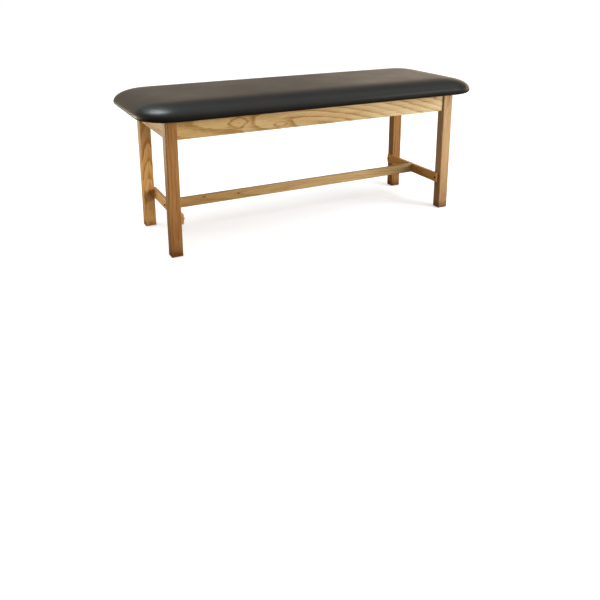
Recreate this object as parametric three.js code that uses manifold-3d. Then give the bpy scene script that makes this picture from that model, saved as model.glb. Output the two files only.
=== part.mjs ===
// Medical exam table: a hardwood frame with an H-shaped lower brace and a padded vinyl top.
// Millimetres, +Z up. The origin is on the floor under the middle of the table, +X runs
// along the table and -Y is its front. Pieces that touch keep a gap of GAP to each other.

import * as THREE from 'three';
import { mergeVertices } from 'three/addons/utils/BufferGeometryUtils.js';
import Module from 'manifold-3d';

const wasm = await Module();
wasm.setup();

// ---- driving dimensions ----
const TABLE_LENGTH = 1981;
const TABLE_WIDTH = 762;
const TABLE_HEIGHT = 787;
const GAP = 0.3;

const PANEL_BOTTOM = 710;
const PANEL_THICK = 19;
const PANEL_INSET = 20; // the foam wraps the edge of the panel
const PAD_CORNER_RADIUS = 180;
const PAD_TOP_ROUND = 104; // how far in from the side the padded top starts to fall
const PAD_TOP_DROP = 62; // and how far it falls
const PAD_BOTTOM_ROUND = 17;
const COVER_THICK = 1.2;
const COVER_HEM = 50; // how far the cover is turned in under the panel

const LEG_SPAN_X = 1721; // outside to outside
const LEG_SPAN_Y = 554;
const LEG_X = 60;
const LEG_Y = 55;
const EDGE_ROUND = 3;

const RAIL_THICK = 19;
const RAIL_HEIGHT = 109;
const RAIL_RECESS = 12; // behind the outer faces of the legs
const TENON_THICK = 9;
const TENON_LENGTH = 25;
const TENON_SHOULDER = 12;
const TENON_ROOT = 1;

const BRACE_THICK = 22;
const BRACE_HEIGHT = 54;
const BRACE_BOTTOM = 165;
const BRACE_HOUSING = 5; // depth of the notch in the leg
const BRACE_END_SETBACK = 18; // from the outer face of the leg to the end of the brace

const GLIDE_RADIUS = 12.5;
const GLIDE_HEIGHT = 4;
const GLIDE_CHAMFER = 1.5;
const GLIDE_NAIL_RADIUS = 1.5;
const GLIDE_NAIL_LENGTH = 16;
const GLIDE_NAIL_POINT = 3; // length of its tapered point

const BLOCK_FACE = 63; // along each rail, from the rails' inside corner to the block
const BLOCK_BACK = 103;
const BLOCK_HEIGHT = 60;
const BLOCK_BELOW_TOP = 12;

const BEARER_WIDTH = 70;
const BEARER_THICK = 19;
const BEARER_HOUSING = 6;
const BEARER_PLACES = { left: -560, middle: 0, right: 560 };
const SCREW_SPACING = 300;

const BOLT_RADIUS = 4;
const BOLT_HEAD_RADIUS = 7;
const BOLT_HEAD_HEIGHT = 4.2;
const BOLT_HEAD_RIM = 0.85; // the straight rim under the dome
const BOLT_SHOULDER_RADIUS = 5.95; // half way up the dome
const BOLT_SHOULDER_HEIGHT = 2.6;
const BOLT_CROWN_RADIUS = 3.85; // the flat top of the dome, round the socket
const BOLT_SOCKET_RADIUS = 2.9;
const BOLT_SOCKET_DEPTH = 2.4;
const LEG_BOLT_LENGTH = 54;
const CENTRE_BOLT_LENGTH = 78;

const INSERT_RADIUS = 6;
const INSERT_LENGTH = 16;
const BARREL_RADIUS = 5.5;
const BARREL_LENGTH = 18;
const BARREL_FROM_END = 42;

const HANGER_IN_LEG = 30;
const HANGER_PAST_NUT = 5;
const WASHER_RADIUS = 10;
const WASHER_THICK = 1.6;
const NUT_RADIUS = 7.5; // across corners / 2
const NUT_HEIGHT = 6.5;

const SCREW_HEAD_RADIUS = 4.6;
const SCREW_HEAD_HEIGHT = 2.8;
const SCREW_RADIUS = 2.2;
const SCREW_LENGTH = 32;
const SCREW_POINT = 6; // length of its tapered point

// ---- how finely round shapes are faceted ----
const ROUND_STEPS = 12;
const TURNED_STEPS = 14;
const NAIL_STEPS = 8;
const HEXAGON = 6;
const EDGE_STEPS = 1; // an eased edge has twice this many flats
const PAD_ROUND_STEPS = 6;
const PAD_FOOT_STEPS = 3;
const PAD_CORNER_STEPS = 4;
const WELD_DISTANCE = 1e-3; // corners closer than this are one corner

// ---- worked-out levels and places ----
const FRAME_TOP = PANEL_BOTTOM - GAP;
const LEG_BOTTOM = GLIDE_HEIGHT;
const LEG_HEIGHT = FRAME_TOP - LEG_BOTTOM;
const LEG_MID_X = (LEG_SPAN_X - LEG_X) / 2;
const LEG_MID_Y = (LEG_SPAN_Y - LEG_Y) / 2;
const RAIL_MID_Z = FRAME_TOP - RAIL_HEIGHT / 2;
const SIDE_RAIL_Y = LEG_SPAN_Y / 2 - RAIL_RECESS - RAIL_THICK / 2;
const END_RAIL_X = LEG_SPAN_X / 2 - RAIL_RECESS - RAIL_THICK / 2;
const SIDE_RAIL_LENGTH = LEG_SPAN_X - 2 * LEG_X - 2 * GAP;
const END_RAIL_LENGTH = LEG_SPAN_Y - 2 * LEG_Y - 2 * GAP;
const TENON_HEIGHT = RAIL_HEIGHT - 2 * TENON_SHOULDER;
const BRACE_MID_Z = BRACE_BOTTOM + BRACE_HEIGHT / 2;
const CROSS_BRACE_LENGTH = LEG_SPAN_Y - 2 * BRACE_END_SETBACK;
const CROSS_BRACE_X = LEG_SPAN_X / 2 - LEG_X + BRACE_HOUSING - GAP - BRACE_THICK / 2;
const LONG_BRACE_LENGTH = 2 * (CROSS_BRACE_X - BRACE_THICK / 2 - GAP);
const BEARER_MID_Z = FRAME_TOP - BEARER_THICK / 2;
const BEARER_LENGTH = 2 * (SIDE_RAIL_Y - RAIL_THICK / 2 + BEARER_HOUSING - GAP);
const HANGER_Z = FRAME_TOP - BLOCK_BELOW_TOP - BLOCK_HEIGHT / 2;
const LEG_PAST_RAIL_X = LEG_X - RAIL_RECESS - RAIL_THICK; // the leg stands this far inside the rails
const LEG_PAST_RAIL_Y = LEG_Y - RAIL_RECESS - RAIL_THICK;
const BOLT_HOLE = BOLT_RADIUS + GAP;
const ENDS = { left: -1, right: 1 };
const SIDES = { front: -1, rear: 1 };

// ---- colours ----
const finish = (color, roughness, metalness = 0) =>
  new THREE.MeshStandardMaterial({ color, roughness, metalness });
const HARDWOOD = () => finish(0xc99b62, 0.45);
const PLYWOOD = () => finish(0xc9a877, 0.7);
const FOAM = () => finish(0xe9dfae, 0.95);
const VINYL = () => finish(0x2a2a28, 0.4);
const BLACK_STEEL = () => finish(0x141414, 0.45, 0.8);
const ZINC = () => finish(0xb9bcbf, 0.35, 1);
const BRASS = () => finish(0xc9a24a, 0.35, 1);
const NYLON = () => finish(0x2b2621, 0.6);

// ---- solids ----
function solidOf(geometry) {
  const bare = geometry.clone();
  bare.deleteAttribute('normal');
  bare.deleteAttribute('uv');
  const merged = mergeVertices(bare, WELD_DISTANCE);
  return new wasm.Manifold(new wasm.Mesh({
    numProp: 3,
    vertProperties: merged.attributes.position.array,
    triVerts: Uint32Array.from(merged.index.array),
  }));
}

function geometryOf(solid) {
  const { vertProperties, triVerts } = solid.getMesh();
  const geometry = new THREE.BufferGeometry();
  geometry.setAttribute('position', new THREE.BufferAttribute(vertProperties, 3));
  geometry.setIndex(new THREE.BufferAttribute(triVerts, 1));
  geometry.computeVertexNormals();
  return geometry;
}

// Each of the shapes is taken out of the body, which comes back as a geometry.
function cut(body, ...shapes) {
  let solid = solidOf(body);
  for (const shape of shapes) solid = solid.subtract(solidOf(shape));
  return geometryOf(solid);
}

function join(body, ...shapes) {
  let solid = solidOf(body);
  for (const shape of shapes) solid = solid.add(solidOf(shape));
  return geometryOf(solid);
}

const block = (x, y, z, at) => new THREE.BoxGeometry(x, y, z).translate(...at);

function rod(radius, length, steps = ROUND_STEPS) {
  return new THREE.CylinderGeometry(radius, radius, length, steps);
}
const rodAlongX = (radius, length, steps) => rod(radius, length, steps).rotateZ(Math.PI / 2);
const rodAlongZ = (radius, length, steps) => rod(radius, length, steps).rotateX(Math.PI / 2);

function ringAlongX(outer, inner, length, steps) {
  return cut(rodAlongX(outer, length, steps), rodAlongX(inner, 2 * length));
}

// Turns a profile of [radius, height] pairs round the Z axis.
function turned(profile, steps) {
  const points = profile.map(([radius, height]) => new THREE.Vector2(radius, height));
  return new THREE.LatheGeometry(points, steps).rotateX(Math.PI / 2);
}

function roundedRectangle(width, height, radius) {
  const x = width / 2 - radius;
  const y = height / 2 - radius;
  const shape = new THREE.Shape();
  shape.absarc(x, -y, radius, -Math.PI / 2, 0);
  shape.absarc(x, y, radius, 0, Math.PI / 2);
  shape.absarc(-x, y, radius, Math.PI / 2, Math.PI);
  shape.absarc(-x, -y, radius, Math.PI, Math.PI * 1.5);
  shape.closePath();
  return shape;
}

// A sawn and eased board: its length runs along Z, its thickness along X. endRound is 0
// where the ends butt against another piece.
function board(thickness, height, length, endRound = 0) {
  const geometry = new THREE.ExtrudeGeometry(roundedRectangle(thickness, height, EDGE_ROUND), {
    depth: length - 2 * endRound,
    curveSegments: EDGE_STEPS,
    bevelEnabled: endRound > 0,
    bevelThickness: endRound,
    bevelSize: endRound,
    bevelOffset: -endRound,
    bevelSegments: EDGE_STEPS,
  });
  return geometry.translate(0, 0, endRound - length / 2);
}

// Turns a board to lie along X: length to X, thickness to Y, height to Z.
const layAlongX = (geometry) => geometry.applyMatrix4(
  new THREE.Matrix4().makeBasis(
    new THREE.Vector3(0, 1, 0), new THREE.Vector3(0, 0, 1), new THREE.Vector3(1, 0, 0)));

// Turns a board to lie along Y, with its thickness on X and its height on Z.
const layAlongY = (geometry) => layAlongX(geometry).rotateZ(Math.PI / 2);

const table = new THREE.Group();

function place(parent, name, geometry, material, x = 0, y = 0, z = 0) {
  const mesh = new THREE.Mesh(geometry, material);
  mesh.name = name;
  mesh.position.set(x, y, z);
  parent.add(mesh);
  return mesh;
}

// ---- padded top ----
// The outline of the table's top in plan, drawn in by inset.
const topOutline = (inset) => roundedRectangle(
  TABLE_LENGTH - 2 * inset, TABLE_WIDTH - 2 * inset, PAD_CORNER_RADIUS - inset);

// A body with that outline, from bottom up to the pad's top, rounded at both edges: a tall
// block rounded at its top, crossed with a tall block rounded at its bottom.
function padBody(inset, bottom) {
  const top = TABLE_HEIGHT - inset;
  const depth = 2 * (top - bottom);
  const rounded = (size, drop, steps) => new THREE.ExtrudeGeometry(topOutline(inset), {
    depth,
    curveSegments: PAD_CORNER_STEPS,
    bevelThickness: drop,
    bevelSize: size,
    bevelOffset: -size,
    bevelSegments: steps,
  });
  const topShape = rounded(PAD_TOP_ROUND, PAD_TOP_DROP, PAD_ROUND_STEPS);
  topShape.translate(0, 0, top - PAD_TOP_DROP - depth);
  const bottomShape = rounded(PAD_BOTTOM_ROUND, PAD_BOTTOM_ROUND, PAD_FOOT_STEPS);
  bottomShape.translate(0, 0, bottom + PAD_BOTTOM_ROUND);
  return solidOf(topShape).intersect(solidOf(bottomShape));
}

// A flat slab with the same outline and square edges.
function slab(inset, bottom, thickness) {
  const geometry = new THREE.ExtrudeGeometry(topOutline(inset), {
    depth: thickness, curveSegments: PAD_CORNER_STEPS, bevelEnabled: false,
  });
  return geometry.translate(0, 0, bottom);
}

const screws = Object.entries(BEARER_PLACES).flatMap(([bearer, x]) => (
  Object.entries(SIDES).map(([side, sideY]) => (
    { name: `${bearer}_${side}`, x, y: sideY * SCREW_SPACING / 2 }))));

function screwHole(screw) {
  const depth = SCREW_LENGTH - BEARER_THICK + GAP;
  return rodAlongZ(SCREW_RADIUS + GAP, 2 * depth).translate(screw.x, screw.y, PANEL_BOTTOM);
}

// The cover wraps the foam and is open underneath, inside its hem. The foam has a recess
// for the panel.
function paddedTop() {
  const coverBottom = PANEL_BOTTOM - GAP - COVER_THICK;
  const inside = padBody(COVER_THICK, PANEL_BOTTOM - GAP);
  const mouth = solidOf(slab(COVER_HEM, coverBottom - PANEL_THICK, 2 * PANEL_THICK));
  const cover = padBody(0, coverBottom).subtract(inside).subtract(mouth);
  place(table, 'pad_cover', geometryOf(cover), VINYL());

  const panelRoom = solidOf(
    slab(PANEL_INSET - GAP, PANEL_BOTTOM - PANEL_THICK, 2 * PANEL_THICK + GAP));
  const foam = padBody(COVER_THICK + GAP, PANEL_BOTTOM).subtract(panelRoom);
  place(table, 'pad_foam', geometryOf(foam), FOAM());

  const panel = cut(slab(PANEL_INSET, PANEL_BOTTOM, PANEL_THICK), ...screws.map(screwHole));
  place(table, 'top_panel', panel, PLYWOOD());
}

// ---- legs ----
// sideX and sideY are +1 or -1: the corner of the table where the leg stands. The leg's
// own origin is at the middle of its foot.
function legGeometry(sideX, sideY) {
  const mortiseThick = TENON_THICK + 2 * GAP;
  const mortiseDepth = TENON_LENGTH + 2 * GAP;
  const mortiseHeight = TENON_HEIGHT + 2 * GAP;
  const mortiseZ = RAIL_MID_Z - LEG_BOTTOM;
  const toInsideX = -sideX * LEG_X / 2;
  const toInsideY = -sideY * LEG_Y / 2;

  const sideMortise = block(2 * mortiseDepth, mortiseThick, mortiseHeight,
    [toInsideX, sideY * (SIDE_RAIL_Y - LEG_MID_Y), mortiseZ]);
  const endMortise = block(mortiseThick, 2 * mortiseDepth, mortiseHeight,
    [sideX * (END_RAIL_X - LEG_MID_X), toInsideY, mortiseZ]);

  const notchEnd = LEG_Y / 2 - BRACE_END_SETBACK + GAP;
  const notchLength = notchEnd + LEG_Y;
  const braceNotch = block(2 * BRACE_HOUSING, notchLength, BRACE_HEIGHT + 2 * GAP,
    [toInsideX, sideY * (notchEnd - notchLength / 2), BRACE_MID_Z - LEG_BOTTOM]);

  const boltZ = BRACE_MID_Z - LEG_BOTTOM;
  const insertHole = rodAlongX(INSERT_RADIUS + GAP, 2 * (BRACE_HOUSING + INSERT_LENGTH + 2 * GAP));
  insertHole.translate(toInsideX, 0, boltZ);
  const boltHole = rodAlongX(BOLT_HOLE, 2 * (LEG_BOLT_LENGTH - BRACE_THICK + BRACE_HOUSING));
  boltHole.translate(toInsideX, 0, boltZ);

  const nailHole = rodAlongZ(GLIDE_NAIL_RADIUS + GAP, 2 * (GLIDE_NAIL_LENGTH + GAP), NAIL_STEPS);
  const hangerHole = rodAlongX(BOLT_HOLE, 2 * (HANGER_IN_LEG + GAP));
  hangerHole.rotateZ(Math.atan2(-sideY, -sideX));
  hangerHole.translate(toInsideX, toInsideY, HANGER_Z - LEG_BOTTOM);

  const blank = board(LEG_X, LEG_Y, LEG_HEIGHT, EDGE_ROUND / 2).translate(0, 0, LEG_HEIGHT / 2);
  return cut(blank, sideMortise, endMortise, braceNotch, insertHole, boltHole, nailHole, hangerHole);
}

// A round foot with its nail, which points up into the leg.
function glideGeometry() {
  const head = GLIDE_HEIGHT - GAP;
  return turned([
    [0, 0],
    [GLIDE_RADIUS - GLIDE_CHAMFER, 0],
    [GLIDE_RADIUS, GLIDE_CHAMFER],
    [GLIDE_RADIUS, head],
    [GLIDE_NAIL_RADIUS, head],
    [GLIDE_NAIL_RADIUS, head + GLIDE_NAIL_LENGTH - GLIDE_NAIL_POINT],
    [0, head + GLIDE_NAIL_LENGTH],
  ], TURNED_STEPS);
}

// ---- rails ----
// length is between the shoulders. Each tenon starts TENON_ROOT inside its shoulder, so that
// it joins the rail as one body.
function railGeometry(length, lay) {
  const tenon = (end) => block(TENON_THICK, TENON_HEIGHT, TENON_LENGTH + TENON_ROOT,
    [0, 0, end * (length + TENON_LENGTH - TENON_ROOT) / 2]);
  return lay(join(board(RAIL_THICK, RAIL_HEIGHT, length), tenon(-1), tenon(1)));
}

// A side rail has a shallow notch on its inside for the end of each bearer.
function sideRailGeometry(sideY) {
  const rail = railGeometry(SIDE_RAIL_LENGTH, layAlongX);
  const notches = Object.values(BEARER_PLACES).map((x) => block(
    BEARER_WIDTH + 2 * GAP, 2 * BEARER_HOUSING, 2 * (BEARER_THICK + GAP),
    [x, -sideY * RAIL_THICK / 2, RAIL_HEIGHT / 2]));
  return cut(rail, ...notches);
}

// ---- corner blocks and hanger bolts ----
// The block's own origin is where the inside faces of the two rails would meet.
function cornerBlockGeometry(sideX, sideY) {
  const corners = [[BLOCK_FACE, GAP], [BLOCK_BACK, GAP], [GAP, BLOCK_BACK], [GAP, BLOCK_FACE]];
  const shape = new THREE.Shape(corners.map(([x, y]) => new THREE.Vector2(-sideX * x, -sideY * y)));
  const body = new THREE.ExtrudeGeometry(shape, { depth: BLOCK_HEIGHT, bevelEnabled: false });
  const hole = rodAlongX(BOLT_HOLE, 4 * BLOCK_BACK);
  hole.rotateZ(Math.atan2(-sideY, -sideX));
  hole.translate(-sideX * LEG_PAST_RAIL_X, -sideY * LEG_PAST_RAIL_Y, BLOCK_HEIGHT / 2);
  return cut(body, hole);
}

// The bolt, washer and nut stand in a group whose X axis points from the leg's inside edge
// through the block to the middle of the table.
function hangerSet(corner, sideX, sideY) {
  const legEdge = (LEG_PAST_RAIL_X + LEG_PAST_RAIL_Y) / Math.SQRT2;
  const washerStart = BLOCK_BACK / Math.SQRT2 - legEdge + GAP;
  const nutStart = washerStart + WASHER_THICK + GAP;
  const boltEnd = nutStart + NUT_HEIGHT + HANGER_PAST_NUT;
  const group = new THREE.Group();
  group.position.set(sideX * (LEG_SPAN_X / 2 - LEG_X), sideY * (LEG_SPAN_Y / 2 - LEG_Y), HANGER_Z);
  group.rotation.z = Math.atan2(-sideY, -sideX);
  table.add(group);

  const bolt = rodAlongX(BOLT_RADIUS, HANGER_IN_LEG + boltEnd);
  place(group, `hanger_bolt_${corner}`, bolt, ZINC(), (boltEnd - HANGER_IN_LEG) / 2);
  const washer = ringAlongX(WASHER_RADIUS, BOLT_HOLE, WASHER_THICK);
  place(group, `hanger_washer_${corner}`, washer, ZINC(), washerStart + WASHER_THICK / 2);
  const nut = ringAlongX(NUT_RADIUS, BOLT_HOLE, NUT_HEIGHT, HEXAGON);
  place(group, `hanger_nut_${corner}`, nut, ZINC(), nutStart + NUT_HEIGHT / 2);
}

// ---- bearers under the panel ----
function bearerGeometry() {
  const hole = (y) => screwGeometry(GAP).translate(0, y, -BEARER_THICK / 2 - GAP);
  const slat = layAlongY(board(BEARER_WIDTH, BEARER_THICK, BEARER_LENGTH));
  return cut(slat, hole(-SCREW_SPACING / 2), hole(SCREW_SPACING / 2));
}

// A countersunk screw, head down, with room added all round for the hole it needs.
function screwGeometry(room = 0) {
  return turned([
    [0, 0],
    [SCREW_HEAD_RADIUS + room, 0],
    [SCREW_RADIUS + room, SCREW_HEAD_HEIGHT],
    [SCREW_RADIUS + room, SCREW_LENGTH - SCREW_POINT],
    [0, SCREW_LENGTH],
  ], ROUND_STEPS);
}

// ---- lower brace ----
// Along X, with a bolt hole in each end and the hole for its barrel nut from below.
function longBraceGeometry() {
  const beam = layAlongX(board(BRACE_THICK, BRACE_HEIGHT, LONG_BRACE_LENGTH));
  const cuts = [-1, 1].flatMap((end) => {
    const bolt = rodAlongX(BOLT_HOLE, 2 * (CENTRE_BOLT_LENGTH - BRACE_THICK + GAP));
    bolt.translate(end * LONG_BRACE_LENGTH / 2, 0, 0);
    const depth = BRACE_HEIGHT / 2 + BARREL_LENGTH / 2 + GAP;
    const nut = rodAlongZ(BARREL_RADIUS + GAP, 2 * depth);
    nut.translate(end * (LONG_BRACE_LENGTH / 2 - BARREL_FROM_END), 0, -BRACE_HEIGHT / 2);
    return [bolt, nut];
  });
  return cut(beam, ...cuts);
}

function crossBraceGeometry() {
  const beam = layAlongY(board(BRACE_THICK, BRACE_HEIGHT, CROSS_BRACE_LENGTH, EDGE_ROUND / 2));
  const hole = (y) => rodAlongX(BOLT_HOLE, 2 * BRACE_THICK).translate(0, y, 0);
  return cut(beam, hole(-LEG_MID_Y), hole(0), hole(LEG_MID_Y));
}

// A domed head with a hexagon socket, its underside at the origin and its shank along +X.
function boltGeometry(length) {
  const bolt = turned([
    [0, -BOLT_HEAD_HEIGHT],
    [BOLT_CROWN_RADIUS, -BOLT_HEAD_HEIGHT],
    [BOLT_SHOULDER_RADIUS, -BOLT_SHOULDER_HEIGHT],
    [BOLT_HEAD_RADIUS, -BOLT_HEAD_RIM],
    [BOLT_HEAD_RADIUS, 0],
    [BOLT_RADIUS, 0],
    [BOLT_RADIUS, length],
    [0, length],
  ], TURNED_STEPS).rotateY(Math.PI / 2);
  const socket = rodAlongX(BOLT_SOCKET_RADIUS, 2 * BOLT_SOCKET_DEPTH, HEXAGON);
  return cut(bolt, socket.translate(-BOLT_HEAD_HEIGHT, 0, 0));
}

function barrelNutGeometry() {
  return cut(rodAlongZ(BARREL_RADIUS, BARREL_LENGTH), rodAlongX(BOLT_HOLE, 4 * BARREL_RADIUS));
}

// ---- assembly ----
paddedTop();

for (const [side, sideY] of Object.entries(SIDES)) {
  place(table, `${side}_rail`, sideRailGeometry(sideY), HARDWOOD(), 0, sideY * SIDE_RAIL_Y, RAIL_MID_Z);
}

for (const [end, sideX] of Object.entries(ENDS)) {
  const endRail = railGeometry(END_RAIL_LENGTH, layAlongY);
  place(table, `${end}_end_rail`, endRail, HARDWOOD(), sideX * END_RAIL_X, 0, RAIL_MID_Z);
  place(table, `${end}_cross_brace`, crossBraceGeometry(), HARDWOOD(),
    sideX * CROSS_BRACE_X, 0, BRACE_MID_Z);

  const outerFace = sideX * (CROSS_BRACE_X + BRACE_THICK / 2 + GAP);
  const centreBolt = place(table, `${end}_centre_bolt`, boltGeometry(CENTRE_BOLT_LENGTH),
    BLACK_STEEL(), outerFace, 0, BRACE_MID_Z);
  if (sideX > 0) centreBolt.rotation.z = Math.PI;
  place(table, `${end}_barrel_nut`, barrelNutGeometry(), ZINC(),
    sideX * (LONG_BRACE_LENGTH / 2 - BARREL_FROM_END), 0, BRACE_MID_Z);

  for (const [side, sideY] of Object.entries(SIDES)) {
    const corner = `${side}_${end}`;
    const legX = sideX * LEG_MID_X;
    const legY = sideY * LEG_MID_Y;
    place(table, `leg_${corner}`, legGeometry(sideX, sideY), HARDWOOD(), legX, legY, LEG_BOTTOM);
    place(table, `glide_${corner}`, glideGeometry(), NYLON(), legX, legY, 0);

    const innerFace = sideX * (CROSS_BRACE_X - BRACE_THICK / 2 - GAP);
    const legBolt = place(table, `leg_bolt_${corner}`, boltGeometry(LEG_BOLT_LENGTH),
      BLACK_STEEL(), innerFace, legY, BRACE_MID_Z);
    if (sideX < 0) legBolt.rotation.z = Math.PI;
    const insert = ringAlongX(INSERT_RADIUS, BOLT_HOLE, INSERT_LENGTH);
    const notchBottom = LEG_SPAN_X / 2 - LEG_X + BRACE_HOUSING;
    place(table, `threaded_insert_${corner}`, insert, BRASS(),
      sideX * (notchBottom + GAP + INSERT_LENGTH / 2), legY, BRACE_MID_Z);

    place(table, `corner_block_${corner}`, cornerBlockGeometry(sideX, sideY), HARDWOOD(),
      sideX * (END_RAIL_X - RAIL_THICK / 2), sideY * (SIDE_RAIL_Y - RAIL_THICK / 2),
      HANGER_Z - BLOCK_HEIGHT / 2);
    hangerSet(corner, sideX, sideY);
  }
}

place(table, 'long_brace', longBraceGeometry(), HARDWOOD(), 0, 0, BRACE_MID_Z);

for (const [name, x] of Object.entries(BEARER_PLACES)) {
  place(table, `bearer_${name}`, bearerGeometry(), HARDWOOD(), x, 0, BEARER_MID_Z);
}
for (const { name, x, y } of screws) {
  place(table, `panel_screw_${name}`, screwGeometry(), ZINC(), x, y, FRAME_TOP - BEARER_THICK);
}

export default table;
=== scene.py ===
"""Medical exam table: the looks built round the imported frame. Metres, +Z up, -Y is the front.

The padded top is one closed form shaped by a cloth simulation. The boards are the frame's
own nodes with a wood material each. Bolts, nuts, washers, screws and glides are turned finer.
"""

import math

import bmesh
import bpy
import numpy as np
from mathutils import Matrix, Vector

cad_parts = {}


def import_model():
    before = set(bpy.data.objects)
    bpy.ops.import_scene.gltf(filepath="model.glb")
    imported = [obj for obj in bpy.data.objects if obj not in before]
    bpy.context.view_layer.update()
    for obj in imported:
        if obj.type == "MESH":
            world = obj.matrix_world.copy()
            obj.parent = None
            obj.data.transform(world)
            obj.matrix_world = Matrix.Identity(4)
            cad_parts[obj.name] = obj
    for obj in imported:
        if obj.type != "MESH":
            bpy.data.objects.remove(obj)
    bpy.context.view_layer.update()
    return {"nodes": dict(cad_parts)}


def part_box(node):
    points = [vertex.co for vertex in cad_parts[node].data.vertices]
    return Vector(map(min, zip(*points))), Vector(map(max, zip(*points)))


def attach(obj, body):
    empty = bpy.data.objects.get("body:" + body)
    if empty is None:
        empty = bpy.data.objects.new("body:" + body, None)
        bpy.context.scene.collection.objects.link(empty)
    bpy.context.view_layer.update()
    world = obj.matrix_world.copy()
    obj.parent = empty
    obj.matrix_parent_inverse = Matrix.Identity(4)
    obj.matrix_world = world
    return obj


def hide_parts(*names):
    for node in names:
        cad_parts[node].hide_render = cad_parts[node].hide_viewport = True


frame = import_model()

# ---- camera ----
CAMERA_PLACE = (-1.716, -3.377, 1.374)
CAMERA_TURN = 26.93  # degrees to the right of +Y
CAMERA_DROP = 15.72  # degrees below the horizon
CAMERA_ROLL = 0.09
CAMERA_LENS = 40.8  # mm
CAMERA_SENSOR = 36  # mm wide
CAMERA_SHIFT = -0.225  # the table stands high in the picture

# ---- padded top ----
COVER_LOW, COVER_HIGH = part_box("pad_cover")
PANEL_LOW, PANEL_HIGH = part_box("top_panel")
HALF_LENGTH = COVER_HIGH.x
HALF_WIDTH = COVER_HIGH.y
CORNER_RADIUS = 0.180
CORNER_SHRINK = 0.104  # further in than this the corners shrink evenly towards the middle
TOP_ROUND = 0.190  # how far in from the side the top starts to fall
TOP_DROP = 0.062  # how far it has fallen at the side
TOP_SQUARE = 2.5  # the power of its curve: 2 is an ellipse, and more is squarer
FOOT_ROUND = 0.020  # how far in the lower edge is rounded
RISE = 0.0015  # how far the foam lifts the top above the frame's plain solid
CROWN = 0.003  # how much further it lifts the middle
HEM_WIDTH = 0.050
COVER_THICK = 0.0012
PANEL_GAP = 0.0003
LINING_GAP = 0.02  # the lining's innermost ring, from the middle line

SEED = 11


# ---- meshes ----
def new_object(name, vertices, faces):
    mesh = bpy.data.meshes.new(name)
    mesh.from_pydata([tuple(v) for v in vertices], [], faces)
    mesh.validate()
    for polygon in mesh.polygons:
        polygon.use_smooth = True
    piece = bpy.data.objects.new(name, mesh)
    bpy.context.scene.collection.objects.link(piece)
    return piece


def face_outwards(piece):
    shape = bmesh.new()
    shape.from_mesh(piece.data)
    bmesh.ops.recalc_face_normals(shape, faces=shape.faces)
    shape.to_mesh(piece.data)
    shape.free()


def apply_modifiers(piece):
    """Gives a piece the mesh that its modifiers make of it."""
    graph = bpy.context.evaluated_depsgraph_get()
    mesh = bpy.data.meshes.new_from_object(piece.evaluated_get(graph))
    piece.modifiers.clear()
    piece.data = mesh


# ---- node helper ----
class Nodes:
    """Builds nodes in one tree. A value given to a node is a socket, a number or a tuple."""

    def __init__(self, tree):
        self.tree = tree
        self.coordinates = tree.nodes.new("ShaderNodeTexCoord").outputs
        self.place = self.coordinates["Object"]

    def rays(self, kind):
        """1 for light of one kind, such as Camera, and 0 for the rest."""
        return self.tree.nodes.new("ShaderNodeLightPath").outputs[f"Is {kind} Ray"]

    def give(self, socket, value):
        if isinstance(value, bpy.types.NodeSocket):
            self.tree.links.new(value, socket)
        else:
            socket.default_value = value

    def math(self, operation, *values, clamp=False):
        node = self.tree.nodes.new("ShaderNodeMath")
        node.operation = operation
        node.use_clamp = clamp
        for socket, value in zip(node.inputs, values):
            self.give(socket, value)
        return node.outputs[0]

    def split(self, vector):
        node = self.tree.nodes.new("ShaderNodeSeparateXYZ")
        self.give(node.inputs[0], vector)
        return node.outputs

    def join(self, x, y, z):
        node = self.tree.nodes.new("ShaderNodeCombineXYZ")
        for socket, value in zip(node.inputs, (x, y, z)):
            self.give(socket, value)
        return node.outputs[0]

    def stretch(self, vector, scale, move=(0, 0, 0)):
        node = self.tree.nodes.new("ShaderNodeMapping")
        self.give(node.inputs["Vector"], vector)
        node.inputs["Scale"].default_value = scale
        node.inputs["Location"].default_value = move
        return node.outputs[0]

    def noise(self, vector, scale=1.0, detail=2.0, roughness=0.5):
        node = self.tree.nodes.new("ShaderNodeTexNoise")
        self.give(node.inputs["Vector"], vector)
        node.inputs["Scale"].default_value = scale
        node.inputs["Detail"].default_value = detail
        node.inputs["Roughness"].default_value = roughness
        return node.outputs["Fac"]

    def cells(self, vector, scale):
        node = self.tree.nodes.new("ShaderNodeTexVoronoi")
        self.give(node.inputs["Vector"], vector)
        node.inputs["Scale"].default_value = scale
        return node.outputs["Distance"]

    def remap(self, value, low, high, to_low=0.0, to_high=1.0, smooth=False):
        node = self.tree.nodes.new("ShaderNodeMapRange")
        if smooth:
            node.interpolation_type = "SMOOTHSTEP"
        for socket, given in zip(node.inputs, (value, low, high, to_low, to_high)):
            self.give(socket, given)
        return node.outputs[0]

    def ramp(self, value, *stops):
        node = self.tree.nodes.new("ShaderNodeValToRGB")
        self.give(node.inputs[0], value)
        elements = node.color_ramp.elements
        while len(elements) < len(stops):
            elements.new(1.0)
        for element, (position, level) in zip(elements, stops):
            element.position = position
            element.color = (level, level, level, 1)
        return node.outputs[0]

    def blend(self, share, first, second, mode="MIX"):
        node = self.tree.nodes.new("ShaderNodeMix")
        node.data_type = "RGBA"
        node.blend_type = mode
        self.give(node.inputs["Factor"], share)
        self.give(node.inputs[6], colour(first))
        self.give(node.inputs[7], colour(second))
        return node.outputs[2]

    def bump(self, height, distance, strength=1.0, below=None):
        node = self.tree.nodes.new("ShaderNodeBump")
        node.inputs["Strength"].default_value = strength
        node.inputs["Distance"].default_value = distance
        self.give(node.inputs["Height"], height)
        if below is not None:
            self.give(node.inputs["Normal"], below)
        return node.outputs[0]


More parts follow.
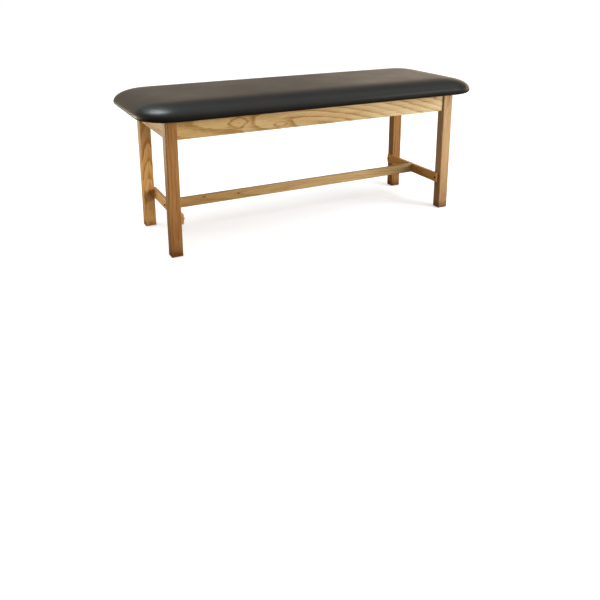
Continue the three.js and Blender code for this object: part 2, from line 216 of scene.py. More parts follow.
class Surface(Nodes):
    """Builds one material's nodes."""

    def __init__(self, name):
        self.material = bpy.data.materials.new(name)
        self.material.use_nodes = True
        super().__init__(self.material.node_tree)

    def finish(self, **values):
        shader = self.tree.nodes["Principled BSDF"]
        for name, value in values.items():
            socket = shader.inputs[name.replace("_", " ")]
            self.give(socket, colour(value) if socket.type == "RGBA" else value)
        return self.material


def colour(value):
    """A colour socket takes a fourth number, the opacity."""
    return (*value, 1) if isinstance(value, tuple) and len(value) == 3 else value


# ---- wood ----
LIGHT_WOOD = (0.50, 0.34, 0.165)
DARK_WOOD = (0.50, 0.32, 0.14)  # a ring's dark wood, as a share of the light wood
PORE = (0.6, 0.52, 0.45)  # this and the next three are shares of the dark wood
KNOT = (0.72, 0.42, 0.3)
END_GRAIN = (0.8, 0.72, 0.64)
# painted shade at the legs' feet, a share of the dark wood
FOOT_SHADE = (0.42, 0.33, 0.28)
WORN = (1.12, 1.12, 1.12)  # a share of the light wood
AXES = {"x": (0, 2, 1), "y": (1, 2, 0), "z": (2, 0, 1)}  # along, across, through
FINE_RING = 0.0052  # wider rings have rings as narrow as this inside them
EYE_POWER = 1.35  # an eye is a diamond at 1 and an ellipse at 2
EYE_REACH = 1.3  # how far out an eye bends the rings, in its own sizes
KNOT_LENGTH = 1.8  # along the board, against its height
EDGE_WEAR = 0.004
# how high above the floor the painted shade on a leg reaches, and its darkest band
FOOT_SHADE_HEIGHT = 0.32
FOOT_SHADE_BAND = 0.06


def tinted(base, tint):
    return tuple(a * b for a, b in zip(base, tint))


class Board(Surface):
    """One board's material, in the board's own directions: x along it, y across its face and
    z through it, from its middle."""

    def __init__(self, node_name, along, seed):
        super().__init__(f"wood_{node_name}")
        low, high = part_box(node_name)
        order = AXES[along]
        self.half_x, self.half_y, self.half_z = [(high - low)[i] / 2 for i in order]
        parts = self.split(self.stretch(self.place, (1, 1, 1), tuple(-(low + high) / 2)))
        self.x, self.y, self.z = [parts[i] for i in order]
        self.end = self.remap(self.x, -self.half_x, self.half_x)
        self.facing_along = self.split(self.coordinates["Normal"])[order[0]]
        self.seed = seed
        shift = (seed * 3.1, seed * 1.7, seed * 2.3)
        self.grain = self.stretch(self.join(self.x, self.y, self.z), (1, 1, 1), shift)
        self.fibre = self.noise(self.stretch(self.grain, (5, 190, 190)), 1, 4, 0.68)

    def stray(self, scale, detail, reach, move=(0, 0, 0)):
        """A random shift of up to reach either way."""
        wave = self.noise(self.stretch(self.grain, scale, move), 1, detail)
        return self.remap(wave, 0.2, 0.8, -reach, reach)

    def mark_distance(self, at_x, at_y, half_x, half_y, power):
        """0 in the middle of a mark on the face and 1 on its outline."""
        parts = []
        for value, middle, half in ((self.x, at_x, half_x), (self.y, at_y, half_y)):
            part = self.math("ABSOLUTE", self.math("DIVIDE", self.math("SUBTRACT", value, middle), half))
            parts.append(self.math("POWER", part, power))
        return self.math("ADD", *parts)

    def ring_distance(self, pith, tilt, bow, dive, wander, ruffle, eyes):
        """The distance from the middle of the tree, which strays, leans and bows along the board.
        Each eye (along, across, half length, half height, lift) bends the rings round itself."""
        lean = self.math("MULTIPLY", self.x, self.math("ADD", self.math("MULTIPLY", self.x, bow), tilt))
        across = self.math("SUBTRACT", self.math("SUBTRACT", self.y, pith[0]), lean)
        across = self.math("ADD", across, self.stray((1.6, 4, 4), 1, wander))
        sink = self.math("ADD", self.math("MULTIPLY", self.x, dive), pith[1])
        through = self.math("SUBTRACT", self.z, sink)
        through = self.math("ADD", through, self.stray((2.3, 5, 5), 2, wander, (7, 3, 5)))
        squares = self.math("ADD", self.math("POWER", across, 2.0), self.math("POWER", through, 2.0))
        distance = self.math("SQRT", squares)
        for at_x, at_y, half_x, half_y, lift in eyes:
            far = self.mark_distance(at_x, at_y, EYE_REACH * half_x, EYE_REACH * half_y, EYE_POWER)
            near = self.math("EXPONENT", self.math("MULTIPLY", far, -1.0))
            distance = self.math("ADD", distance, self.math("MULTIPLY", near, lift))
        distance = self.math("ADD", distance, self.stray((9, 40, 40), 2, ruffle))
        return self.math("ADD", distance, self.remap(self.fibre, 0.2, 0.8, -ruffle, ruffle))

    def rings(self, distance, ring):
        """The dark, porous part of each year's ring, fainter in some years."""
        count = self.math("DIVIDE", distance, ring)
        porous = self.ramp(self.math("FRACT", count), (0.0, 0.2), (0.05, 1.0), (0.2, 0.75),
                           (0.45, 0.2), (0.9, 0.0), (1.0, 0.1))
        year = self.noise(self.join(self.math("FLOOR", count), self.seed, 0), 1.7, 0)
        porous = self.math("MULTIPLY", porous, self.remap(year, 0.25, 0.75, 0.4, 1.0))
        if ring > FINE_RING:
            porous = self.math("ADD", porous, self.fine_rings(distance), clamp=True)
        return porous

    def fine_rings(self, distance):
        """Faint narrow rings inside the wide ones of a board sawn flat."""
        narrow = self.math("FRACT", self.math("DIVIDE", distance, FINE_RING))
        narrow = self.ramp(narrow, (0.0, 0.0), (0.15, 0.7), (0.35, 1.0), (0.7, 0.25), (1.0, 0.0))
        return self.math("MULTIPLY", narrow, self.remap(self.fibre, 0.35, 0.65, 0.02, 0.26))

    def eye(self, porous, at_x, at_y, half_x, half_y):
        """Closes a dark ring round a point, over the rings already there."""
        far = self.mark_distance(at_x, at_y, half_x, half_y, EYE_POWER)
        stray = self.noise(self.stretch(self.grain, (24, 60, 60)), 1, 2)
        far = self.math("ADD", far, self.remap(stray, 0.3, 0.7, -0.22, 0.22))
        far = self.math("ADD", far, self.remap(self.fibre, 0.3, 0.7, -0.07, 0.07))
        mark = self.ramp(self.math("MULTIPLY", far, 0.5), (0.0, 0.35), (0.12, 0.1), (0.36, 0.22),
                         (0.49, 1.0), (0.60, 0.42), (0.8, 0.0))
        cover = self.remap(far, 1.6, 1.15, 0.0, 1.0, smooth=True)
        return self.blend(cover, porous, mark)

    def pores(self, porous):
        """Fine open pores, most of them in the rings' porous part."""
        pores = self.noise(self.stretch(self.grain, (45, 900, 900)), 1, 1)
        pores = self.remap(pores, 0.56, 0.7, 0, 1, smooth=True)
        return self.math("MULTIPLY", pores, self.remap(porous, 0.0, 0.6, 0.12, 1.0))

    def darkness(self, porous, contrast, fade, streak):
        """How dark the wood is, from its rings, its fibres and slow changes along it."""
        marked = self.remap(self.fibre, 0.3, 0.7, 0.7 * contrast, 1.2 * contrast)
        share = self.math("MULTIPLY", porous, marked)
        share = self.math("MULTIPLY", share, self.remap(self.end, 0.2, 1.0, 1.0, fade))
        share = self.math("ADD", share, self.remap(self.fibre, 0.3, 0.7, -0.16 * streak, 0.26 * streak))
        broad = self.noise(self.stretch(self.grain, (1.5, 14, 14), (2, 9, 4)), 1, 2)
        return self.math("ADD", share, self.remap(broad, 0.3, 0.7, -0.14, 0.26), clamp=True)

    def knot(self, shade, dark, at_x, at_y, size, depth):
        far = self.mark_distance(at_x, at_y, KNOT_LENGTH * size, size, 2.0)
        cover = self.remap(far, 0.2, 2.2, depth, 0.0, smooth=True)
        return self.blend(cover, shade, tinted(dark, KNOT))

    def worn_edges(self, scuffs):
        """Where the lacquer is rubbed off the long edges."""
        edges = []
        for value, half in ((self.y, self.half_y), (self.z, self.half_z)):
            edges.append(self.remap(self.math("ABSOLUTE", value), half - EDGE_WEAR, half, smooth=True))
        worn = self.math("MULTIPLY", *edges)
        return self.math("MULTIPLY", worn, self.remap(scuffs, 0.42, 0.62, 0.0, 0.55))

    def foot_shade(self, scuffs):
        """Painted shade: a leg darkens towards the floor, most of all over its last few centimetres."""
        height = self.split(self.place)[2]
        slow = self.remap(height, 0.0, FOOT_SHADE_HEIGHT, 0.30, 0.0, smooth=True)
        close = self.remap(height, 0.0, FOOT_SHADE_BAND, 0.55, 0.0, smooth=True)
        patchy = self.remap(scuffs, 0.3, 0.7, 0.7, 1.3)
        return self.math("MULTIPLY", self.math("ADD", slow, close), patchy)


def wood(node_name, along, seed, tint=(1, 1, 1), far_tint=None, pith=(0.01, 0.08), tilt=0.0, bow=0.0,
         dive=0.0, wander=0.015, ring=0.006, eyes=(), knots=(), streak=1.0, contrast=0.8, fade=1.0):
    """Ring-porous hardwood under satin lacquer. pith is where the middle of the tree lies from
    the board's middle, across and through. It leans across the board by tilt and bow and through
    it by dive, and strays by wander. Towards the board's far end the tint changes to far_tint
    and the rings' contrast by fade."""
    board = Board(node_name, along, seed)
    light = tinted(LIGHT_WOOD, tint)
    dark = tinted(light, DARK_WOOD)
    far_light = tinted(LIGHT_WOOD, far_tint or tint)
    far_dark = tinted(far_light, DARK_WOOD)

    ruffle = 0.0004 + 0.07 * ring
    distance = board.ring_distance(pith, tilt, bow, dive, wander, ruffle, eyes)
    porous = board.rings(distance, ring)
    for at_x, at_y, half_length, half_height, _ in eyes:
        porous = board.eye(porous, at_x, at_y, half_length, half_height)
    pores = board.pores(porous)
    share = board.darkness(porous, contrast, fade, streak)

    # the tints and their change along the board carry painted light and shade as well as the wood's own
    # tone
    pale = board.blend(board.end, light, far_light)
    shade = board.blend(share, pale, board.blend(board.end, dark, far_dark))
    for knot in knots:
        shade = board.knot(shade, dark, *knot)
    shade = board.blend(board.math("MULTIPLY", pores, 0.6), shade, tinted(dark, PORE))
    scuffs = board.noise(board.place, 38, 3)
    shade = board.blend(board.worn_edges(scuffs), shade, tinted(light, WORN))
    end_grain = board.remap(board.math("ABSOLUTE", board.facing_along), 0.75, 0.95, 0.0, 0.6)
    shade = board.blend(end_grain, shade, tinted(dark, END_GRAIN))
    # painted shade, darkening each leg towards the floor
    if node_name.startswith("leg"):
        shade = board.blend(board.foot_shade(scuffs), shade, tinted(dark, FOOT_SHADE))

    height = board.math("ADD", board.math("MULTIPLY", porous, -0.4), board.math("MULTIPLY", pores, -1.0))
    rough = board.math("ADD", board.math("MULTIPLY", share, 0.10), board.remap(pores, 0, 1, 0.36, 0.55))
    return board.finish(Base_Color=shade, Roughness=rough, Coat_Weight=0.12, Coat_Roughness=0.25,
                        Normal=board.bump(height, 0.00025, 0.7))


# An eye is (along, across, half length, half height, lift), a knot (along, across, size, depth).
# Besides each board's own tone, tint and far_tint hold painted light and shade: they lighten the
# brace as more light would, and darken others.
# left end rail, the rear left leg, the cross braces and the right ends of the front rail and long
WOOD = {
    "front_rail": dict(along="x", seed=1.0, tint=(1.4, 1.38, 1.1), far_tint=(1.29, 1.54, 1.88),
                       pith=(-0.047, -0.0095), tilt=-0.15, bow=-0.075, dive=0.13, wander=0.005, ring=0.03,
                       eyes=((-0.478, 0.0015, 0.050, 0.031, 0.045), (-0.248, -0.030, 0.038, 0.015, 0.03)),
                       knots=((0.74, 0.027, 0.006, 0.7),), streak=0.7, contrast=0.95, fade=0.6),
    "rear_rail": dict(along="x", seed=2.2, tint=(1.15, 1.15, 1.1), pith=(0.03, -0.03), tilt=0.12, bow=0.1,
                      dive=-0.08, wander=0.012, ring=0.022, streak=0.7),
    "left_end_rail": dict(along="y", seed=3.1, tint=(1.42, 1.3, 0.72), ring=0.014),
    "right_end_rail": dict(along="y", seed=4.4, tint=(1.2, 1.2, 1.1), ring=0.014),
    "leg_front_left": dict(along="z", seed=5.3, tint=(0.9, 0.68, 0.46), pith=(0.05, 0.05), wander=0.012,
                           ring=0.009, streak=1.5, contrast=0.5),
    "leg_rear_left": dict(along="z", seed=6.1, tint=(1.82, 1.58, 1.12), far_tint=(1.42, 1.24, 0.88),
                          pith=(0.004, 0.03), tilt=0.03, bow=0.1, dive=0.09, wander=0.006, ring=0.0085,
                          knots=((-0.15, 0.012, 0.018, 0.35),), contrast=0.75),
    "leg_front_right": dict(along="z", seed=7.7, tint=(0.88, 0.83, 0.83), far_tint=(0.94, 0.92, 1.0),
                            pith=(0.01, 0.06), wander=0.012, ring=0.011, contrast=0.65),
    "leg_rear_right": dict(along="z", seed=8.2, tint=(0.86, 0.7, 0.5), far_tint=(0.7, 0.54, 0.39),
                           pith=(-0.05, 0.06), wander=0.008, ring=0.009, contrast=0.8),
    "long_brace": dict(along="x", seed=9.5, tint=(0.94, 0.84, 0.6), far_tint=(1.2, 1.3, 1.36),
                       pith=(-0.01, -0.02), tilt=-0.04, dive=0.05, wander=0.006, ring=0.013,
                       knots=((-0.59, 0.015, 0.004, 0.8), (-0.39, 0.006, 0.004, 0.8)), contrast=0.6),
    "left_cross_brace": dict(along="y", seed=10.3, tint=(1.64, 1.46, 1.15), ring=0.009, contrast=0.6),
    "right_cross_brace": dict(along="y", seed=11.9, tint=(1.42, 1.1, 0.57), ring=0.009, contrast=0.6),
}
PLAIN_BOARDS = ["bearer_left", "bearer_middle", "bearer_right"]
CORNERS = [f"{side}_{end}" for end in ("left", "right") for side in ("front", "rear")]


def paint(node_name, material):
    """Gives one of the frame's own nodes its material."""
    mesh = frame["nodes"][node_name].data
    mesh.materials.clear()
    mesh.materials.append(material)


def paint_boards():
    for node_name, choices in WOOD.items():
        paint(node_name, wood(node_name, **choices))
    for i, node_name in enumerate(PLAIN_BOARDS):
        paint(node_name, wood(node_name, "y", 13.0 + i))
    for i, corner in enumerate(CORNERS):
        node_name = f"corner_block_{corner}"
        paint(node_name, wood(node_name, "z", 17.0 + i, ring=0.005))


PLY = 0.0027
FACE_VENEER = 0.0004  # the underside shows its face and not the plies' edges


def plywood():
    """Plywood peeled from a log, with every second ply darker where its edge shows."""
    nodes = Surface("plywood_panel")
    _, y, z = nodes.split(nodes.place)
    wave = nodes.noise(nodes.stretch(nodes.place, (1.2, 9, 60)), 1, 2)
    figure = nodes.math("ADD", wave, nodes.math("MULTIPLY", y, 2.0))
    lines = nodes.math("FRACT", nodes.math("MULTIPLY", figure, 9.0))
    grain = nodes.ramp(lines, (0.0, 0.2), (0.15, 0.9), (0.6, 0.25), (1.0, 0.2))
    fibre = nodes.noise(nodes.stretch(nodes.place, (5, 220, 60)), 1, 3)
    share = nodes.math("MULTIPLY", grain, 0.4)
    share = nodes.math("ADD", share, nodes.math("MULTIPLY", fibre, 0.5), clamp=True)
    shade = nodes.blend(share, (0.55, 0.40, 0.24), (0.36, 0.23, 0.12))

    plies = nodes.math("MULTIPLY", nodes.math("SUBTRACT", z, PANEL_LOW.z), 1 / (2 * PLY))
    second = nodes.math("GREATER_THAN", nodes.math("FRACT", plies), 0.5)
    edge = nodes.math("GREATER_THAN", z, PANEL_LOW.z + FACE_VENEER)
    cover = nodes.math("MULTIPLY", second, nodes.math("MULTIPLY", edge, 0.5))
    shade = nodes.blend(cover, shade, (0.24, 0.14, 0.07))
    return nodes.finish(Base_Color=shade, Roughness=nodes.remap(fibre, 0.3, 0.7, 0.6, 0.8),
                        Normal=nodes.bump(share, 0.0003, 0.5))


# ---- padded top: mesh ----
LONG_STEPS = 116
SHORT_STEPS = 29
CORNER_STEPS = 36
HEM_STEPS = 6
FOOT_STEPS = 5
FOOT_HELD = 2  # rings of the rounded lower edge that are held with the hem
TOP_STEPS = 20
FLAT_STEPS = 13
PLEATS = 9  # folds of the hem under each corner
PLEAT_DEPTH = 0.0024
PLEAT_INSET = 0.027
PLEAT_REACH = 0.007  # how far to each side of that inset they show
PLEAT_PRESSED = 0.25  # how much of them the staples leave further in


def outline(inset):
    """Points round the pad's outline, drawn in by inset; the corners tighten towards the middle."""
    half_x = HALF_LENGTH - inset
    half_y = HALF_WIDTH - inset
    if inset <= CORNER_SHRINK:
        radius = CORNER_RADIUS - inset
    else:
        radius = (CORNER_RADIUS - CORNER_SHRINK) * (HALF_WIDTH - inset) / (HALF_WIDTH - CORNER_SHRINK)
    points = []
    corners = [(1, -1, -90, SHORT_STEPS), (1, 1, 0, LONG_STEPS),
               (-1, 1, 90, SHORT_STEPS), (-1, -1, 180, LONG_STEPS)]
    for i, (side_x, side_y, start, steps) in enumerate(corners):
        middle = Vector((side_x * (half_x - radius), side_y * (half_y - radius)))
        for step in range(CORNER_STEPS + 1):
            angle = math.radians(start + 90 * step / CORNER_STEPS)
            points.append(middle + radius * Vector((math.cos(angle), math.sin(angle))))
        next_x, next_y, next_start, _ = corners[(i + 1) % 4]
        angle = math.radians(next_start)
        end = Vector((next_x * (half_x - radius), next_y * (half_y - radius)))
        end += radius * Vector((math.cos(angle), math.sin(angle)))
        start_point = points[-1]
        for step in range(1, steps):
            points.append(start_point.lerp(end, step / steps))
    return points


def crown(point):
    """The lift of the top at a point, which falls off towards the sides."""
    return CROWN * (1 - (point.x / HALF_LENGTH) ** 2) * (1 - (point.y / HALF_WIDTH) ** 2)


def pad_rings():
    """(inset, height, share of the crown) of each ring, from the hem's edge, round the outside, to
    near the middle."""
    bottom = COVER_LOW.z
    top = COVER_HIGH.z
    rings = [(HEM_WIDTH + (FOOT_ROUND - HEM_WIDTH) * i / HEM_STEPS, bottom, 0) for i in range(HEM_STEPS)]
    for i in range(FOOT_STEPS):
        angle = math.radians(90 * i / FOOT_STEPS)
        inset = FOOT_ROUND * (1 - math.sin(angle))
        rings.append((inset, bottom + (top - TOP_DROP - bottom) * (1 - math.cos(angle)), 0))
    for i in range(TOP_STEPS):
        angle = math.radians(90 * i / (TOP_STEPS - 1))
        inset = TOP_ROUND * (1 - math.cos(angle) ** (2 / TOP_SQUARE))
        rings.append((inset, top - TOP_DROP + (TOP_DROP + RISE) * math.sin(angle), math.sin(angle)))
    for i in range(1, FLAT_STEPS):
        inset = TOP_ROUND + (HALF_WIDTH - TOP_ROUND) * i / FLAT_STEPS
        rings.append((inset, top + RISE, 1))
    return rings


def inner_rings():
    """The closed form's inside, which wraps the panel."""
    lining = COVER_LOW.z + COVER_THICK
    past_panel = HALF_LENGTH - PANEL_HIGH.x - PANEL_GAP
    over_panel = PANEL_HIGH.z + PANEL_GAP
    return [(HEM_WIDTH, lining, 0), (past_panel, lining, 0), (past_panel, over_panel, 0),
            (HALF_WIDTH - LINING_GAP, over_panel, 0)]


def close_ring(faces, start, count, upwards):
    """Fills the long thin gap inside a ring: quads between its long sides, one face at each end."""
    end_points = CORNER_STEPS + SHORT_STEPS + CORNER_STEPS
    rear = [start + end_points + i for i in range(LONG_STEPS + 1)]
    front = [start + (count - i) % count for i in range(LONG_STEPS + 1)]
    for i in range(LONG_STEPS):
        quad = [rear[i], rear[i + 1], front[i + 1], front[i]]
        faces.append(quad if upwards else quad[::-1])
    right = [start + i for i in range(end_points + 1)]
    left = [start + (count - LONG_STEPS - i) for i in range(end_points + 1)][::-1]
    for end in (right, left):
        faces.append(end if upwards else end[::-1])


def pleat(chance, inset, step):
    """How far the hem hangs down in its folds, at a step round a corner."""
    if not 0 < step < CORNER_STEPS:
        return 0
    fold = abs(math.sin(math.pi * PLEATS * step / CORNER_STEPS))
    near = math.exp(-((inset - PLEAT_INSET) / PLEAT_REACH) ** 2)
    pressed = PLEAT_PRESSED if inset > PLEAT_INSET else 0
    return PLEAT_DEPTH * fold * max(near, pressed) * chance.uniform(0.7, 1.0)


def pad_mesh():
    """The padded top, and how many of its vertices, from the first, are held in place."""
    rings = inner_rings()[::-1] + pad_rings()
    count = len(outline(0))
    side_starts = np.cumsum([0, CORNER_STEPS + SHORT_STEPS, CORNER_STEPS + LONG_STEPS,
                             CORNER_STEPS + SHORT_STEPS])
    chance = np.random.default_rng(SEED)
    vertices = []
    for inset, height, crowned in rings:
        for i, point in enumerate(outline(inset)):
            step = i - max(start for start in side_starts if start <= i)
            hang = pleat(chance, inset, step) if height == COVER_LOW.z else 0
            vertices.append((point.x, point.y, height - hang + crowned * crown(point)))
    faces = []
    for ring in range(len(rings) - 1):
        for i in range(count):
            a = ring * count + i
            b = ring * count + (i + 1) % count
            faces.append((a, b, b + count, a + count))
    close_ring(faces, 0, count, upwards=False)
    close_ring(faces, (len(rings) - 1) * count, count, upwards=True)
    piece = new_object("padded_top", vertices, faces)
    face_outwards(piece)
    held = (len(inner_rings()) + HEM_STEPS + FOOT_HELD) * count
    return piece, held


# ---- padded top: cloth ----
CLOTH_FRAMES = 20
CLOTH_LIMIT = 0.006  # no point moves further than this
FLAT_FROM = 0.09  # this far in from the side the top starts to move as one
FLAT_ALL = 0.19  # and from here on it all does
FOAM_HOLD = 0.28  # how firmly the foam keeps the cover in place


def flat_share(points):
    """How far each point belongs to the top's flat middle, which the foam carries evenly."""
    along, across, height = points.T
    inset = np.minimum(HALF_LENGTH - np.abs(along), HALF_WIDTH - np.abs(across))
    share = np.clip((inset - FLAT_FROM) / (FLAT_ALL - FLAT_FROM), 0, 1)
    share = share * share * (3 - 2 * share) * (height > COVER_HIGH.z - TOP_DROP)
    return share[:, None]


def add_cloth(piece):
    cloth = piece.modifiers.new("Cloth", "CLOTH")
    settings = cloth.settings
    settings.vertex_group_mass = "held"
    settings.pin_stiffness = 1.2
    settings.use_pressure = True
    settings.uniform_pressure_force = 3.0
    settings.tension_stiffness = 40
    settings.compression_stiffness = 40
    settings.shear_stiffness = 20
    settings.bending_stiffness = 2.0
    settings.mass = 0.4
    settings.quality = 4
    settings.effector_weights.gravity = 0
    cloth.collision_settings.use_collision = False
    cloth.point_cache.frame_start = 1
    cloth.point_cache.frame_end = CLOTH_FRAMES


def vertex_places(piece):
    return np.array([vertex.co for vertex in piece.data.vertices])


def inflate(piece, held):
    """The cover strains over its foam: pressure lifts it, the foam draws it back, and the
    stapled hem holds it. The flat middle of the top only moves up or down, all together."""
    group = piece.vertex_groups.new(name="held")
    group.add(list(range(held)), 1.0, "REPLACE")
    group.add(list(range(held, len(piece.data.vertices))), FOAM_HOLD, "REPLACE")
    before = vertex_places(piece)
    add_cloth(piece)
    scene = bpy.context.scene
    for step in range(1, CLOTH_FRAMES + 1):
        scene.frame_set(step)
    apply_modifiers(piece)
    scene.frame_set(1)

    move = vertex_places(piece) - before
    length = np.linalg.norm(move, axis=1, keepdims=True)
    move *= np.minimum(1, CLOTH_LIMIT / np.maximum(length, 1e-9))
    level = flat_share(before)
    flat = (level * move).sum(axis=0) / level.sum()
    move = move * (1 - level) + level * flat * (0, 0, 1)
    piece.data.vertices.foreach_set("co", (before + move).astype(np.float32).ravel())
    piece.data.update()
    print("cloth moved, mm: mean %.2f, most %.2f" % (1000 * length.mean(), 1000 * length.max()))


# ---- padded top: look ----
VINYL = (0.0068, 0.0069, 0.0064)
WORN_VINYL = (0.0108, 0.0103, 0.0094)


def vinyl():
    """Smooth upholstery vinyl: a fine pebble, faint stretch marks and slightly worn patches."""
    nodes = Surface("vinyl_cover")
    pebble = nodes.cells(nodes.place, 700)
    stretch = nodes.noise(nodes.stretch(nodes.place, (3, 14, 14)), 1, 3)
    patches = nodes.noise(nodes.place, 4.5, 3)
    shade = nodes.blend(nodes.remap(patches, 0.3, 0.7, 0, 1), VINYL, WORN_VINYL)
    rough = nodes.remap(patches, 0.3, 0.7, 0.33, 0.40)
    fine = nodes.bump(pebble, 0.00012, 0.35)
    return nodes.finish(Base_Color=shade, Roughness=rough, Normal=nodes.bump(stretch, 0.0012, 0.3, fine))


def crease_closing_rings(piece):
    """The subdivision keeps the innermost rings in place, whose short edges would fold over."""
    count = len(outline(0))
    last = len(piece.data.vertices) - count
    crease = piece.data.attributes.new("crease_edge", "FLOAT", "EDGE")
    for edge in piece.data.edges:
        if max(edge.vertices) < count or min(edge.vertices) >= last:
            crease.data[edge.index].value = 1.0


def padded_top():
    """The cover and its foam as one closed piece."""
    piece, held = pad_mesh()
    inflate(piece, held)
    crease_closing_rings(piece)
    finer = piece.modifiers.new("Finer", "SUBSURF")
    finer.levels = finer.render_levels = 1
    apply_modifiers(piece)
    piece.data.materials.append(vinyl())
    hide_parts("pad_cover", "pad_foam")
    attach(piece, "root")


# ---- staples ----
STAPLE_STEP = 0.038
STAPLE_UNEVEN = 0.15  # of the step, either way
STAPLE_LENGTH = 0.011
STAPLE_WIRE = 0.0006
STAPLE_INSET = 0.038
STAPLE_BITE = 0.0008  # how far its ends go up into the hem
STAPLE_BEND = 0.0004
STAPLE_SKEW = 0.25  # radians


def staples():
    """One row of staples round the hem, under the panel's edge."""
    points = outline(STAPLE_INSET)
    chance = np.random.default_rng(SEED)
    vertices, faces = [], []
    walked, next_at = 0.0, 0.0
    for a, b in zip(points, points[1:] + points[:1]):
        run = (b - a).length
        while next_at < walked + run:
            along = (b - a).normalized()
            middle = a.lerp(b, (next_at - walked) / run)
            along = Matrix.Rotation(chance.uniform(-STAPLE_SKEW, STAPLE_SKEW), 2) @ along
            add_staple(vertices, faces, middle, along)
            next_at += STAPLE_STEP * chance.uniform(1 - STAPLE_UNEVEN, 1 + STAPLE_UNEVEN)
        walked += run
    piece = new_object("hem_staples", vertices, faces)
    face_outwards(piece)
    return piece


def add_staple(vertices, faces, middle, along):
    """A flat wire with both ends bent up into the hem."""
    sideways = Vector((-along.y, along.x))
    half = STAPLE_LENGTH / 2
    low = COVER_LOW.z - STAPLE_WIRE
    bent = half - STAPLE_WIRE
    path = [(-half, COVER_LOW.z + STAPLE_BITE), (-half, low + STAPLE_BEND), (-bent, low),
            (bent, low), (half, low + STAPLE_BEND), (half, COVER_LOW.z + STAPLE_BITE)]
    start = len(vertices)
    for along_at, height in path:
        inward = STAPLE_WIRE if abs(along_at) == half else 0
        for side, up in ((-1, 0), (1, 0), (1, 1), (-1, 1)):
            at = along_at - math.copysign(inward * up, along_at)
            lift = height + (0 if inward else STAPLE_WIRE * up)
            spot = middle + along * at + sideways * side * STAPLE_WIRE
            vertices.append((spot.x, spot.y, lift))
    for i in range(len(path) - 1):
        for j in range(4):
            a, b = start + 4 * i + j, start + 4 * i + (j + 1) % 4
            faces.append((a, b, b + 4, a + 4))
    faces.append((start, start + 1, start + 2, start + 3))
    end = start + 4 * (len(path) - 1)
    faces.append((end + 3, end + 2, end + 1, end))


# ---- turned pieces ----
TURNS = 48
THREAD_TURNS = 24
SHARP_FROM = 32  # degrees


def plain(angle, radius):
    """A circle."""
    return radius


def hexagon(angle, radius):
    """A hexagon whose corners are at radius."""
    sector = math.radians(360 / 6)
    return radius * math.cos(sector / 2) / math.cos((angle % sector) - sector / 2)


def cross(angle, radius):
    """A rounded cross, for a driver."""
    return radius * (0.34 + 0.66 * abs(math.cos(2 * angle)) ** 5)


def turned(name, profile, at, direction, closed=False, turns=TURNS):
    """Turns a profile of (height, radius, shape) about direction. It starts and ends on the
    axis with radius 0, or is closed on itself as a ring."""
    vertices, faces, rings = [], [], []
    for height, radius, *shape in profile:
        if radius == 0:
            rings.append([len(vertices)])
            vertices.append((0, 0, height))
            continue
        draw = shape[0] if shape else plain
        rings.append([len(vertices) + i for i in range(turns)])
        for i in range(turns):
            angle = 2 * math.pi * i / turns
            drawn = draw(angle, radius)
            vertices.append((drawn * math.cos(angle), drawn * math.sin(angle), height))
    for a, b in zip(rings, rings[1:] + rings[:1] if closed else rings[1:]):
        for i in range(turns):
            j = (i + 1) % turns
            if len(a) == 1:
                faces.append((a[0], b[j], b[i]))
            elif len(b) == 1:
                faces.append((a[i], a[j], b[0]))
            else:
                faces.append((a[i], a[j], b[j], b[i]))
    piece = new_object(name, vertices, faces)
    face_outwards(piece)
    turn = Vector((0, 0, 1)).rotation_difference(Vector(direction)).to_matrix().to_4x4()
    piece.data.transform(Matrix.Translation(at) @ turn)
    sharpen(piece)
    return piece


def sharpen(piece):
    """Edges that turn more than SHARP_FROM stay sharp."""
    shape = bmesh.new()
    shape.from_mesh(piece.data)
    for edge in shape.edges:
        edge.smooth = edge.calc_face_angle(0) < math.radians(SHARP_FROM)
    shape.to_mesh(piece.data)
    shape.free()


def metal(name, base, rough, wear, metallic=1.0):
    """Plated or blackened steel: fine scratches, blotches and lighter worn spots."""
    nodes = Surface(name)
    scratches = nodes.noise(nodes.stretch(nodes.place, (1500, 300, 1500)), 1, 2)
    blotches = nodes.noise(nodes.place, 160, 3)
    worn = nodes.remap(blotches, 0.55, 0.75, 0, 1, smooth=True)
    shade = nodes.blend(nodes.math("MULTIPLY", worn, 0.6), base, wear)
    roughness = nodes.math("ADD", nodes.remap(scratches, 0.3, 0.7, -0.08, 0.08), rough)
    return nodes.finish(Base_Color=shade, Metallic=metallic, Roughness=roughness,
                        Normal=nodes.bump(scratches, 0.00003, 0.4))


def stand_in(piece, node_name, material):
    """A finer piece in place of one of the frame's nodes."""
    piece.data.materials.append(material)
    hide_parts(node_name)
    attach(piece, "root")


def middle_of(node_name):
    low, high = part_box(node_name)
    return (low + high) / 2


FINE = 0.0002  # the smallest chamfer
BOLT_HEAD = 0.0042  # its height
BOLT_RIM = 0.007  # this and the next two are radii
BOLT_SHANK = 0.004
BOLT_TIP = 0.0031
BOLT_POINT = 0.0008  # the height of the chamfer at its tip
DOME_HEIGHT = 0.93  # of the head's height
SOCKET = 0.0029
SOCKET_FLOOR = 0.96  # of the radius at its mouth
SOCKET_DEPTH = 0.0022
SOCKET_RIM = 0.0006  # the flat round its mouth


